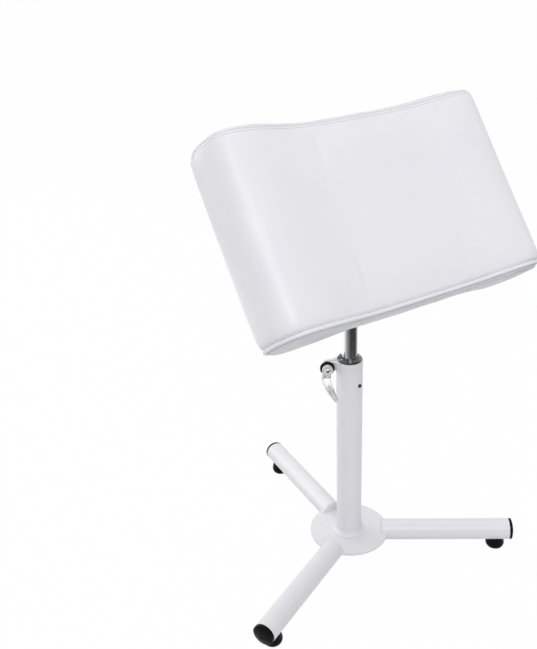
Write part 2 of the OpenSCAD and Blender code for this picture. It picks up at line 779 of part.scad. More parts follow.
// Stud, screwed into the rear ear, with a collar and a hexagonal drive for the hub and lever
module clamp_stud() {
    color(zinc_grey) at_clamp() difference() {
        union() {
            translate([stud_tip_x, 0, 0]) rotate([0, 90, 0])
                cylinder(r1 = stud_r - stud_edge, r2 = stud_r, h = stud_edge);
            rod_x(stud_r, stud_tip_x + stud_edge, stud_collar_x);
            rod_x(stud_collar_d / 2, stud_collar_x, hub_x);
            hex_x(drive_d, hub_x, hub_x + drive_l);
        }
        rod_x(lever_screw_d / 2 + seat_gap, screw_x - lever_screw_l, screw_x + over);
    }
}

module clamp_hub() {
    color(black_plastic) at_clamp() difference() {
        translate([hub_x, 0, 0]) rotate([0, 90, 0]) rotate_extrude() polygon([
            [0, 0],
            [hub_d / 2 - hub_edge, 0],
            [hub_d / 2, hub_edge],
            [hub_d / 2, hub_t - hub_edge],
            [hub_d / 2 - hub_edge, hub_t],
            [0, hub_t]]);
        hex_x(drive_d + 2 * drive_gap, hub_x - over, lever_x + over);
    }
}

// The lever's arm: a tapering section carried along the lever's curve, closed by smaller ones
module lever_arm() {
    sides = len(lever_section);
    rows = len(lever_path_shares);
    centre = [for (p = lever_path_shares) [-p[0] * lever_l, p[1] * lever_l]];
    heading = [for (i = [0 : rows - 1])
        let (a = centre[max(0, i - 1)], b = centre[min(rows - 1, i + 1)], d = b - a)
        d / norm(d)];
    width = [for (s = lever_width_shares) lever_tip_w + (lever_root_w - lever_tip_w) * s];
    points = [for (i = [0 : rows - 1], k = [0 : sides - 1])
        let (across = width[i] / 2 * lever_section[k][0],
            out = lever_t / 2 * lever_section[k][1] * (i == rows - 1 ? 0.5 : 1))
        [lever_x + lever_t / 2 + lever_path_shares[i][2] * lever_l + out,
            centre[i][1] - heading[i][0] * across,
            centre[i][0] + heading[i][1] * across]];
    polyhedron(
        points = points,
        faces = concat(
            [[for (k = [0 : sides - 1]) k]],
            [for (i = [0 : rows - 2], k = [0 : sides - 1]) let (m = (k + 1) % sides)
                [i * sides + k, (i + 1) * sides + k, (i + 1) * sides + m, i * sides + m]],
            [[for (k = [sides - 1 : -1 : 0]) (rows - 1) * sides + k]]));
}

module clamp_lever() {
    color(lever_silver) at_clamp() difference() {
        union() {
            rod_x(lever_eye_d / 2, lever_x, screw_x);
            lever_arm();
        }
        hex_x(drive_d + 2 * drive_gap, lever_x - over, screw_x + over);
    }
}

// Cross-recessed screw with a domed head that holds the lever on the stud
module lever_screw() {
    head_r = lever_head_d / 2;
    dome_r = (head_r * head_r + lever_head_h * lever_head_h) / (2 * lever_head_h);
    dome_steps = 6;
    half_angle = asin(min(1, head_r / dome_r));
    color(chrome_grey) at_clamp() difference() {
        union() {
            translate([screw_x, 0, 0]) rotate([0, 90, 0]) rotate_extrude() polygon(concat(
                [[0, 0]],
                [for (i = [dome_steps : -1 : 0]) let (a = half_angle * i / dome_steps)
                    [dome_r * sin(a), lever_head_h - dome_r * (1 - cos(a))]]));
            rod_x(lever_screw_d / 2, screw_x - lever_screw_l + run_gap, screw_x);
        }
        for (a = [0, 90])
            translate([screw_x + lever_head_h, 0, 0]) rotate([a + 45, 0, 0])
                cube([2 * cross_depth, cross_w, cross_l], center = true);
    }
}

// Half-width of the clevis's side at its foot, and where it runs on to the round end
function ear_tangent(side) =
    let (foot = [side * clevis_l / 2, web_low_n], d = norm(foot), a = atan2(foot[1], foot[0]))
    let (b = a + side * -acos(eye_r / d))
    [eye_r * cos(b), eye_r * sin(b)];

// U-shaped clevis, bent from sheet, with rounded ears round the tilt axis
module clevis() {
    color(zinc_grey) at_hinge() difference() {
        intersection() {
            translate([0, clevis_l / 2, 0]) rotate([90, 0, 0]) linear_extrude(clevis_l) difference() {
                union() {
                    translate([-ear_out_x, -eye_r])
                        square([2 * ear_out_x, eye_r + plate_low_n - bend_out_r]);
                    translate([-ear_out_x + bend_out_r, plate_low_n - bend_out_r])
                        square([2 * (ear_out_x - bend_out_r), bend_out_r]);
                    for (i = [-1, 1])
                        translate([i * (ear_out_x - bend_out_r), plate_low_n - bend_out_r])
                            circle(r = bend_out_r);
                }
                translate([-ear_in_x, -eye_r - over])
                    square([2 * ear_in_x, over + eye_r + web_low_n - bend_in_r]);
                translate([-ear_in_x + bend_in_r, -eye_r - over])
                    square([2 * (ear_in_x - bend_in_r), over + eye_r + web_low_n]);
                for (i = [-1, 1])
                    translate([i * (ear_in_x - bend_in_r), web_low_n - bend_in_r]) circle(r = bend_in_r);
            }
            union() {
                rod_x(eye_r, -2 * ear_out_x, 2 * ear_out_x);
                translate([-2 * ear_out_x, 0, 0]) rotate([90, 0, 90])
                    linear_extrude(4 * ear_out_x) polygon([
                        [0, 0],
                        ear_tangent(-1),
                        [-clevis_l / 2, web_low_n],
                        [-clevis_l / 2, plate_low_n + over],
                        [clevis_l / 2, plate_low_n + over],
                        [clevis_l / 2, web_low_n],
                        ear_tangent(1)]);
            }
        }
        rod_x(bolt_bore_r, -2 * ear_out_x, 2 * ear_out_x);
    }
}

// Fillet beads between the clevis's web and the bracket plate
module clevis_welds() {
    color(zinc_grey) at_hinge() for (side = [-1, 1]) difference() {
        translate([0, side * clevis_l / 2, plate_low_n])
            rod_x(clevis_t * 0.7, -ear_in_x, ear_in_x);
        translate([-bracket_w / 2, -bracket_l, plate_low_n - seat_gap])
            cube([bracket_w, 2 * bracket_l, clevis_t]);
        translate([-bracket_w / 2, -clevis_l / 2 - seat_gap, 0])
            cube([bracket_w, clevis_l + 2 * seat_gap, seat_drop]);
    }
}

// Flat bracket plate with rounded corners, welded to the clevis's web
module bracket_plate() {
    inner_w = bracket_w - 2 * bracket_corner;
    inner_l = bracket_l - 2 * bracket_corner;
    color(zinc_grey) at_hinge() difference() {
        union() {
            translate([-bracket_w / 2, -inner_l / 2, plate_low_n])
                cube([bracket_w, inner_l, clevis_t]);
            translate([-inner_w / 2, -bracket_l / 2, plate_low_n])
                cube([inner_w, bracket_l, clevis_t]);
            for (i = [-1, 1], j = [-1, 1])
                translate([i * inner_w / 2, j * inner_l / 2, plate_low_n])
                    cylinder(r = bracket_corner, h = clevis_t);
        }
        for (p = screw_places)
            translate([p[0], p[1], plate_low_n - over])
                cylinder(d = screw_hole_d, h = clevis_t + 2 * over);
    }
}

module friction_discs() {
    color(nylon_white) at_hinge() {
        ring_x(disc_r, bolt_bore_r, -eye_w / 2 - disc_t - run_gap / 2, -eye_w / 2 - run_gap / 2);
        ring_x(disc_r, bolt_bore_r, eye_w / 2 + run_gap / 2, eye_w / 2 + disc_t + run_gap / 2);
    }
}

module hinge_bolt() {
    head_x = -ear_out_x - washer_t;
    tip_x = ear_out_x + washer_t + nut_h + bolt_stick;
    color(zinc_grey) at_hinge() {
        hex_x(bolt_head_d, head_x - bolt_head_h, head_x);
        rod_x(bolt_r, head_x, tip_x);
    }
}

module hinge_washers() {
    color(zinc_grey) at_hinge() {
        ring_x(washer_d / 2, bolt_bore_r, -ear_out_x - washer_t, -ear_out_x);
        ring_x(washer_d / 2, bolt_bore_r, ear_out_x, ear_out_x + washer_t);
    }
}

// Self-locking nut: hexagon with a round collar that holds its nylon ring
module hinge_nut() {
    nut_x = ear_out_x + washer_t;
    hex_h = nut_h * (1 - nut_collar_share);
    color(zinc_grey) at_hinge() difference() {
        union() {
            hex_x(bolt_head_d, nut_x, nut_x + hex_h);
            rod_x(bolt_head_d * 0.41, nut_x, nut_x + nut_h);
        }
        rod_x(bolt_r + seat_gap, nut_x - over, nut_x + nut_h + over);
    }
}

// Button-head screws through the bracket into the tee nuts
module bracket_screws() {
    color(zinc_grey) at_hinge() for (p = screw_places) translate([p[0], p[1], 0]) difference() {
        union() {
            translate([0, 0, plate_low_n - screw_head_h])
                cylinder(d1 = screw_head_d * 0.62, d2 = screw_head_d, h = screw_head_h);
            translate([0, 0, plate_low_n])
                cylinder(d = screw_d, h = board_high_n + screw_stick - plate_low_n);
        }
        translate([0, 0, plate_low_n - screw_head_h - over])
            cylinder(d = socket_d, h = socket_depth + over, $fn = 6);
    }
}

module tee_nuts() {
    color(zinc_grey) at_hinge() for (p = screw_places) translate([p[0], p[1], 0]) difference() {
        union() {
            translate([0, 0, board_high_n - tee_barrel_l]) cylinder(d = tee_barrel_d, h = tee_barrel_l);
            translate([0, 0, board_high_n]) cylinder(d = tee_flange_d, h = tee_flange_t);
        }
        translate([0, 0, board_high_n - tee_barrel_l - over])
            cylinder(d = screw_d + 2 * run_gap, h = tee_barrel_l + tee_flange_t + 2 * over);
    }
}

module board_blank() {
    translate([pad_shift - board_w / 2, pad_rise - board_l / 2, board_low_n]) cube([board_w, board_l, board_t]);
}

module cushion_board() {
    color(plywood_tan) at_hinge() difference() {
        board_blank();
        for (p = screw_places)
            translate([p[0], p[1], board_low_n - over])
                cylinder(d = tee_barrel_d + 2 * seat_gap, h = board_t + 2 * over);
    }
}

// Strips that close an end ring, from each point of the face to the one behind it
function lid(count, first, turned) =
    let (last = count / 2)
    [for (k = [0 : last - 1])
        let (a = first + k, b = a + 1, c = first + count - k - 1, d = first + (count - k) % count,
            strip = k == 0 ? [a, b, c] : k == last - 1 ? [a, b, d] : [a, b, c, d])
        turned ? [for (i = [len(strip) - 1 : -1 : 0]) strip[i]] : strip];

// Closed skin over rings of equal length: solid between two end faces, or a closed loop
module ring_skin(outlines, places, looped) {
    count = len(outlines[0]);
    rows = len(outlines);
    points = [for (i = [0 : rows - 1], p = outlines[i]) [p[0], places[i], p[1]]];
    polyhedron(
        points = points,
        faces = concat(
            looped ? [] : lid(count, 0, false),
            [for (i = [0 : rows - (looped ? 1 : 2)], k = [0 : count - 1])
                let (m = (k + 1) % count, j = (i + 1) % rows,
                    a = i * count + k, b = i * count + m, c = j * count + k, d = j * count + m)
                each [[a, c, d], [a, d, b]]],
            looped ? [] : lid(count, (rows - 1) * count, true)));
}

module foam_form() {
    translate([pad_shift, pad_rise, 0])
        ring_skin([for (r = foam_rings) pad_outline(r[0])], [for (r = foam_rings) r[1]], false);
}

module foam_core() {
    pocket_h = tee_flange_t + screw_stick + soft_gap;
    color(foam_cream) at_hinge() difference() {
        foam_form();
        board_blank();
        for (p = screw_places)
            translate([p[0], p[1], board_high_n - over])
                cylinder(d = tee_flange_d + 2 * soft_gap, h = pocket_h + over, $fn = 24);
    }
}

// Cover over the face, the ends and the back, open at both sides
module cover_wrap() {
    outer = wrap_rings(0);
    inner = wrap_rings(cover_t);
    rings = concat(outer, [for (i = [len(inner) - 1 : -1 : 0]) inner[i]]);
    color(cover_white) at_hinge() difference() {
        translate([pad_shift, pad_rise, 0])
            ring_skin([for (r = rings) pad_outline(r[0])], [for (r = rings) r[1]], true);
        for (p = screw_places)
            translate([p[0], p[1], seat_drop - over])
                cylinder(d = screw_hole_d, h = cover_t + 2 * over, $fn = 24);
    }
}

// Bulging panel that closes one side of the cover
module side_panel(side) {
    rings = side > 0 ? panel_rings : [for (i = [len(panel_rings) - 1 : -1 : 0]) panel_rings[i]];
    color(cover_white) at_hinge() translate([pad_shift, pad_rise, 0])
        ring_skin([for (r = rings) pad_outline(r[0])], [for (r = rings) side * r[1]], false);
}

// Covered cord along one side's seam
module welt(side) {
    rings = [for (k = [0 : welt_sides - 1]) let (a = -360 * k / welt_sides)
        [welt_inset - welt_r * sin(a), side * welt_y + welt_r * cos(a)]];
    color(cover_white) at_hinge() translate([pad_shift, pad_rise, 0])
        ring_skin([for (r = rings) pad_outline(r[0])], [for (r = rings) r[1]], true);
}

base_plate();
column_tube();
column_weld();
leg_welds();
rotate([0, 0, leg_turns[0]]) leg();  // leg_back
rotate([0, 0, leg_turns[1]]) leg();  // leg_left
rotate([0, 0, leg_turns[2]]) leg();  // leg_right
rotate([0, 0, leg_turns[0]]) leg_cap();  // cap_back
rotate([0, 0, leg_turns[1]]) leg_cap();  // cap_left
rotate([0, 0, leg_turns[2]]) leg_cap();  // cap_right
rotate([0, 0, leg_turns[0]]) foot();  // foot_back
rotate([0, 0, leg_turns[1]]) foot();  // foot_left
rotate([0, 0, leg_turns[2]]) foot();  // foot_right
color(zinc_grey) for (turn = leg_turns) rotate([0, 0, turn]) foot_screw();  // foot_screws
color(zinc_grey) for (turn = leg_turns) rotate([0, 0, turn])  // foot_washers
        translate([foot_reach, 0, foot_floor_z + foot_head_up + foot_head_h]) difference() {
            cylinder(d = foot_washer_d, h = foot_washer_t);
            translate([0, 0, -over]) cylinder(d = foot_hole_d, h = foot_washer_t + 2 * over);
        }
color(zinc_grey) for (turn = leg_turns) rotate([0, 0, turn]) foot_nut();  // foot_nuts
clamp_ears();
column_bushing();
bushing_screw();
glide_sleeve();
post_tube();
post_plug();
retaining_rings();
post_head();
head_pin();
clamp_washer();
clamp_stud();
clamp_hub();
clamp_lever();
lever_screw();
clevis();
clevis_welds();
bracket_plate();
friction_discs();
hinge_bolt();
hinge_washers();
hinge_nut();
bracket_screws();
tee_nuts();
cushion_board();
foam_core();
cover_wrap();
side_panel(-1);  // side_panel_front
side_panel(1);  // side_panel_back
welt(-1);  // welt_front
welt(1);  // welt_back
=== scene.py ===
"""Pedicure footrest: looks of the wave cushion, the chromed post and the enamelled stand.

Lengths are in metres, in the part's own frame: +Z up, the origin on the column's axis
at floor level, and +X along the cushion's tilt axis.
"""

import json
import math

import bpy
import numpy as np
from mathutils import Matrix, Vector


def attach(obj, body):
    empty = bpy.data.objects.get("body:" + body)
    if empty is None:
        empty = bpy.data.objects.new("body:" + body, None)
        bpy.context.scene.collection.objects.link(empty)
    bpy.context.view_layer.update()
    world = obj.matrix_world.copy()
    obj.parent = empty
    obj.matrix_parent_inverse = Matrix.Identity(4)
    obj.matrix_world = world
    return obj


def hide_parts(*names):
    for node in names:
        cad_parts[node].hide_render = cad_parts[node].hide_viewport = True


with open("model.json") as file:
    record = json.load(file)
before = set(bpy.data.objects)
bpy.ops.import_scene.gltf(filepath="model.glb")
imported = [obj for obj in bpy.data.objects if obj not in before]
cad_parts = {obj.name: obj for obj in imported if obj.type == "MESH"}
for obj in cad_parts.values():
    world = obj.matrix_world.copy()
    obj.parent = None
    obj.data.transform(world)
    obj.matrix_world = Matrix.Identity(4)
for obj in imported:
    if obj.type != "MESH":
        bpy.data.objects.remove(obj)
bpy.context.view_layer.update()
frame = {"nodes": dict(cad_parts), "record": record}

MM = 0.001

# Place of the cushion: its tilt axis, its lean and its shift up the slope
HINGE_Z = 442 * MM
TILT = math.radians(52.2)
PAD_RISE = 5.5 * MM

# Form of the cushion, as the part's own source has it
PAD_W = 353 * MM
PAD_L = 219 * MM
MID_N = 62 * MM
CREST_LEFT = 39 * MM
CREST_RIGHT = 30 * MM
HOLLOW_UP = 16 * MM
HOLLOW_SHIFT = 19 * MM
BULGE_DOWN = 47 * MM
FLAT_DOWN = 21 * MM
BACK_FLAT = 102 * MM
END_ROUND = 25 * MM
CREST_POWER = 2.4
BULGE_POWER = 1.5
SEAM_DRAW = 3 * MM
DRAW_L = 16 * MM
SIDE_BULGE = 3 * MM

# Welts: half thickness, how far they stand up from the seam, and the side each one is on
WELT_R = 2.1 * MM
WELT_UP = 0.9 * MM
WELT_SIDES = {"front": -1, "back": 1}
SEAM_W = PAD_L / 2 - SIDE_BULGE
WELT_W = SEAM_W - WELT_R
WRAP_END_W = SEAM_W - 2 * WELT_R
WELT_INSET = SEAM_DRAW - WELT_UP + WELT_R

# Surface of the welts: points round, the height of their creases and of their fine ribs as a
# share of the half thickness, the spacing of both, and how much painted shade darkens the back one
WELT_POINTS = 14
WELT_CREASE = 0.02
WELT_CREASE_PITCH = 4 * MM
WELT_RIB = 0.012
WELT_RIB_PITCH = 1.1 * MM
BACK_WELT_SHADE = 0.12

# Skin: its rings on a side panel, on the draw-in and on one half of the wrap, the powers of the
# panel's bulge, of the draw-in's spacing and of its rise, where the panel's flat middle ends, how
# much painted shade darkens the panel and its rim, and the back seam's share of the front one's
# draw-in and of its painted shade in the groove
PANEL_RINGS = 10
DRAW_RINGS = 9
WRAP_RINGS = 21
PANEL_POWER = 2.4
DRAW_SPACING = 1.25
DRAW_POWER = 2.4
PANEL_IN = 12 * MM
PANEL_SHADE = 0.34
PANEL_RIM_SHADE = 0.5
BACK_DRAW = 0.35
BACK_CREASE = 0.3

# Swelling of the cover as cloth: every second point is simulated, the middle of the back is held
# to this half width, and no point moves further than the cap
CLOTH_STEP = 2
CLOTH_FRAMES = 20
CLOTH_PRESSURE = 4.0
SEAT_HALF = 50 * MM
SWELL_MAX = 1.6 * MM

# Unevenness of the cover: its height, how near to a seam it ends, how far small gathers reach
# from a seam and their spacing, and the spacing of the broad ones all over
GATHER = 0.22 * MM
SEAM_CALM = 3 * MM
GATHER_REACH = 9 * MM
GATHER_PITCH = 5 * MM
BROAD_PITCH_X = 55 * MM
BROAD_PITCH_W = 45 * MM

# Top stitching: from one stitch to the next, how far it stands up, and its points round
STITCH_PITCH = 3.6 * MM
STITCH_UP = 0.12 * MM
STITCH_SIDES = 6

# Studio: brightness of the room, the floor's share of plain white, and the floor's half width
ROOM_LIGHT = 0.53
FLOOR_GLOW = 0.985
FLOOR_REACH = 20.0


def lean(points):
    """Turns [x, w, n] points by the cushion's tilt about the hinge and sets them in the part's frame:
    y = w cos t - n sin t, z = hinge + w sin t + n cos t, after a shift up the slope."""
    x, w, n = points[..., 0], points[..., 1] + PAD_RISE, points[..., 2]
    c, s = math.cos(TILT), math.sin(TILT)
    return np.stack([x, w * c - n * s, HINGE_Z + w * s + n * c], axis=-1)


def wave(d, crest, hollow, half, flat, power):
    """Height over the middle plane at distance d from an end: a quarter ellipse as long as the
    rounded end, then a raised cosine to a power down to the hollow."""
    rise = crest * np.sqrt(np.clip(1 - (1 - d / END_ROUND) ** 2, 0, 1))
    q = np.clip((d - END_ROUND) / (half - flat - END_ROUND), 0, 1)
    fall = hollow + (crest - hollow) * (0.5 * (1 + np.cos(np.pi * q))) ** power
    return np.where(d < END_ROUND, rise, fall)


def stations(count_end, count_face):
    """Distances from one end, closer together round the ends: end x (1 - cos a), then even steps."""
    a = np.linspace(0, np.pi / 2, count_end + 1)
    first = END_ROUND * (1 - np.cos(a))
    middle = np.linspace(END_ROUND, PAD_W - END_ROUND, count_face + 1)[1:-1]
    return np.concatenate([first, middle, PAD_W - first[::-1]])


def outline(s, inset):
    """Closed outline of the cushion, drawn in by inset on every side, as [x, n] rows: the face from
    left to right and the back from right to left, at the same stations s."""
    width = PAD_W - 2 * inset
    half = width / 2
    s = s * (width / PAD_W)
    low = half + HOLLOW_SHIFT
    left = s < low
    crest = np.where(left, CREST_LEFT, CREST_RIGHT) - inset
    face = MID_N + wave(np.where(left, s, width - s), crest, HOLLOW_UP - inset,
                        np.where(left, low, width - low), 0, CREST_POWER)
    back = MID_N - wave(np.minimum(s, width - s), BULGE_DOWN - inset, FLAT_DOWN - inset,
                        half, BACK_FLAT / 2, BULGE_POWER)
    x = s - half
    return np.concatenate([np.stack([x, face], 1), np.stack([x, back], 1)[-2:0:-1]])


def new_mesh(name, points, faces):
    """A smooth-shaded piece of the given points and faces, at the origin."""
    mesh = bpy.data.meshes.new(name)
    mesh.from_pydata(points.tolist(), [], faces if isinstance(faces, list) else faces.tolist())
    mesh.validate()
    mesh.shade_smooth()
    piece = bpy.data.objects.new(name, mesh)
    bpy.context.scene.collection.objects.link(piece)
    return piece


def grid_faces(rows, columns, loop_rows=False, loop_columns=True):
    """Quads between neighbouring rows and columns of a grid, row by row."""
    i = np.arange(rows if loop_rows else rows - 1)
    k = np.arange(columns if loop_columns else columns - 1)
    i, k = np.meshgrid(i, k, indexing="ij")
    j, m = (i + 1) % rows, (k + 1) % columns
    quads = [i * columns + k, i * columns + m, j * columns + m, j * columns + k]
    return np.stack(quads, -1).reshape(-1, 4)


def ripple(a, b, seed):
    """Smooth, seeded unevenness between about -1 and 1: a sum of sines of a and b."""
    rng = np.random.default_rng(seed)
    total = np.zeros(np.broadcast(a, b).shape)
    for _ in range(7):
        fa, fb = rng.normal(0, 1, 2)
        total = total + np.sin(fa * a + fb * b + rng.uniform(0, 2 * np.pi))
    return total / 3.5


def unit(vectors):
    """Vectors brought to length 1."""
    return vectors / np.maximum(np.linalg.norm(vectors, axis=-1, keepdims=True), 1e-12)


def arc_places(path):
    """Distance of each point of a closed path from its first, along the path."""
    steps = np.linalg.norm(np.diff(path, axis=0, append=path[:1]), axis=1)
    return np.concatenate([[0], np.cumsum(steps)[:-1]])


def skin_rings():
    """Rings of the cushion's skin from the back side panel to the front one, as rows of place along
    the leg, inset, and share of painted shade from 0 to 1. The side panel bulges as a full quarter
    ellipse, sqrt(1 - a^p), a groove takes the welt, and the wrap rises out of it by (1 - b)^p.
    Returns the rings and the number of the one that the back seam's stitches follow."""
    a = np.linspace(0, 1, PANEL_RINGS + 1)[:-1]
    panel = np.stack([
        SEAM_W - 0.9 * MM + (SIDE_BULGE + 0.9 * MM) * np.sqrt(1 - a ** PANEL_POWER),
        PANEL_IN + (SEAM_DRAW + 2.9 * MM - PANEL_IN) * a,
        np.where(a > 0.85, PANEL_RIM_SHADE, PANEL_SHADE)], 1)
    # The groove: off the panel's rim, along its bottom under the welt, and up to the wrap, with
    # painted shade that is full down in it and fades up to the wrap
    groove = np.array([
        [SEAM_W - 1.1 * MM, SEAM_DRAW + 3.0 * MM, 1],
        [WELT_W + 0.8 * MM, SEAM_DRAW + 3.3 * MM, 1],
        [WELT_W - 0.9 * MM, SEAM_DRAW + 3.0 * MM, 1],
        [WRAP_END_W + 0.1 * MM, SEAM_DRAW + 1.3 * MM, 0.3],
        [WRAP_END_W - 1.0 * MM, SEAM_DRAW + 0.1 * MM, 0]])
    b = np.linspace(0, 1, DRAW_RINGS + 1)[1:]
    draw_w = groove[-1, 0] - DRAW_L * b ** DRAW_SPACING
    draw = np.stack([draw_w, SEAM_DRAW * (1 - b) ** DRAW_POWER, np.zeros_like(b)], 1)
    # The stitches pull their ring down a little, and shade it
    draw[0] += [0, 0.2 * MM, 0.12]
    middle = np.linspace(draw_w[-1], 0, WRAP_RINGS + 1)[1:]
    wrap = np.stack([middle, np.zeros_like(middle), np.zeros_like(middle)], 1)
    front = np.concatenate([panel, groove, draw, wrap])[::-1] * [-1, 1, 1]

    # The back half: the same rings, with a shallower groove and draw-in, and less painted shade in the
    # groove
    groove[2:, 1] = np.array([1.6, 0.55, BACK_DRAW]) * SEAM_DRAW
    groove[:, 2] *= BACK_CREASE
    draw[:, 1] *= BACK_DRAW
    back = np.concatenate([panel, groove, draw, wrap])
    return np.concatenate([back, front[1:]]), len(panel) + len(groove)


def puff(piece, pinned):
    """Blows the skin up a little as cloth under pressure, held along its seams and on its bracket,
    and returns how far each point moved."""
    rest = np.empty(len(piece.data.vertices) * 3)
    piece.data.vertices.foreach_get("co", rest)
    group = piece.vertex_groups.new(name="held")
    group.add(np.flatnonzero(pinned).tolist(), 1.0, "REPLACE")
    cloth = piece.modifiers.new("cloth", "CLOTH")
    cloth.settings.quality = 6
    cloth.settings.mass = 0.3
    cloth.settings.tension_stiffness = 30
    cloth.settings.compression_stiffness = 30
    cloth.settings.shear_stiffness = 10
    cloth.settings.bending_stiffness = 1.0
    cloth.settings.use_pressure = True
    cloth.settings.uniform_pressure_force = CLOTH_PRESSURE
    cloth.settings.effector_weights.gravity = 0
    cloth.settings.vertex_group_mass = group.name
    cloth.point_cache.frame_start = 1
    cloth.point_cache.frame_end = CLOTH_FRAMES
    scene = bpy.context.scene
    for number in range(1, CLOTH_FRAMES + 1):
        scene.frame_set(number)
    moved = piece.evaluated_get(bpy.context.evaluated_depsgraph_get())
    now = np.empty(len(rest))
    moved.data.vertices.foreach_get("co", now)
    scene.frame_set(1)
    return (now - rest).reshape(-1, 3)


def between(values, places, axis):
    """Values of a grid read between its points along one axis, in straight lines; the last row
    holds at the end of axis 0, and axis 1 runs round."""
    low = np.floor(places).astype(int)
    part = places - low
    count = values.shape[axis]
    if axis == 0:
        high = np.minimum(low + 1, count - 1)
        part = part[:, None, None]
    else:
        low, high = low % count, (low + 1) % count
        part = part[None, :, None]
    return np.take(values, low, axis) * (1 - part) + np.take(values, high, axis) * part


def swelling(skin, s_count):
    """How far each point of the skin moves under the cover's pressure: the cloth of every second
    point, capped, and read between them."""
    coarse = skin[::CLOTH_STEP, ::CLOTH_STEP]
    trial = closed_skin("trial_skin", lean(coarse), (s_count + 1) // CLOTH_STEP)
    w = np.abs(coarse[..., 1])
    seam = (w > WRAP_END_W - 3 * MM) & (w < SEAM_W + 1 * MM)
    seat = (coarse[..., 2] < MID_N - FLAT_DOWN + 1 * MM) & (np.abs(coarse[..., 0]) < SEAT_HALF)
    moved = puff(trial, (seam | seat).reshape(-1)).reshape(coarse.shape)
    bpy.data.objects.remove(trial)
    far = np.linalg.norm(moved, axis=2, keepdims=True)
    moved = moved * np.minimum(1, SWELL_MAX / np.maximum(far, 1e-9))
    rows, columns = skin.shape[:2]
    tall = between(moved, np.minimum(np.arange(rows) / CLOTH_STEP, len(coarse) - 1), 0)
    return between(tall, np.arange(columns) / CLOTH_STEP, 1)


def cushion_skin(s, rings):
    """The cushion's outline carried along the rings, drawn in by each ring's inset.
    Returns points [ring, place, 3] in the cushion's own [x, w, n]."""
    shapes = [outline(s, inset) for inset in rings[:, 1]]
    count = len(shapes[0])
    return np.stack([
        np.stack([shape[:, 0], np.full(count, w), shape[:, 1]], 1)
        for shape, w in zip(shapes, rings[:, 0])])


def write_attribute(piece, name, values):
    """One number for each point of a piece, which its material reads by name."""
    made = piece.data.attributes.new(name, "FLOAT", "POINT")
    made.data.foreach_set("value", np.asarray(values, dtype=np.float32))


def closed_skin(name, body, s_count):
    """The ring grid, closed at both ends by quads between the face's and the back's points."""
    rows, columns = body.shape[:2]
    faces = grid_faces(rows, columns)[:, ::-1]
    k = np.arange(s_count - 1)
    back = (columns - k) % columns
    lid = np.stack([k, back, (columns - k - 1) % columns, k + 1], 1)
    first = [[int(v) for v in dict.fromkeys(reversed(q))] for q in lid.tolist()]
    last = [[(rows - 1) * columns + v for v in reversed(q)] for q in first]
    return new_mesh(name, body.reshape(-1, 3), faces.tolist() + first + last)


def make_cover():
    """The cushion's cover, and for each seam the points and normals that its stitches follow. The
    skin is swollen as cloth and moved along its normals by the unevenness, except in the seams:
    ripples all over, and closer ones that fade by exp(-(distance / reach)^2) from the seams."""
    s = stations(count_end=14, count_face=96)
    rings, stitch_ring = skin_rings()
    skin = cushion_skin(s, rings)
    rows, columns = skin.shape[:2]
    lift = np.zeros(skin.shape)
    lift = swelling(skin, len(s))
    body = lean(skin)
    across = np.roll(body, -1, 1) - np.roll(body, 1, 1)
    normal = unit(np.cross(across, np.gradient(body, axis=0)))
    normal *= np.sign(np.sum(normal * (body - body.mean(axis=(0, 1)))))
    arc = arc_places(body[rows // 2])[None, :]
    w = rings[:, 0][:, None]
    from_seam = np.abs(np.abs(w) - WELT_W)
    near = np.exp(-(from_seam / GATHER_REACH) ** 2)
    gather = ripple(arc / GATHER_PITCH, np.sign(w) * 3, seed=4) * near * GATHER
    broad = ripple(arc / BROAD_PITCH_X, w / BROAD_PITCH_W, seed=9) * GATHER
    off_seam = from_seam > SEAM_CALM
    body = body + lift + normal * ((gather + broad) * off_seam)[..., None]
    made = closed_skin("cushion_cover", body, len(s))
    panel = np.clip((np.abs(rings[:, 0]) - SEAM_W) / MM, 0, 1)
    # Painted shade of each ring, and the side panels' mask for their painted wrinkle shade and bumps
    write_attribute(made, "painted_shade", np.repeat(rings[:, 2], columns))
    write_attribute(made, "panel", np.repeat(panel, columns))
    return made, [(body[r], normal[r]) for r in (stitch_ring, rows - 1 - stitch_ring)]


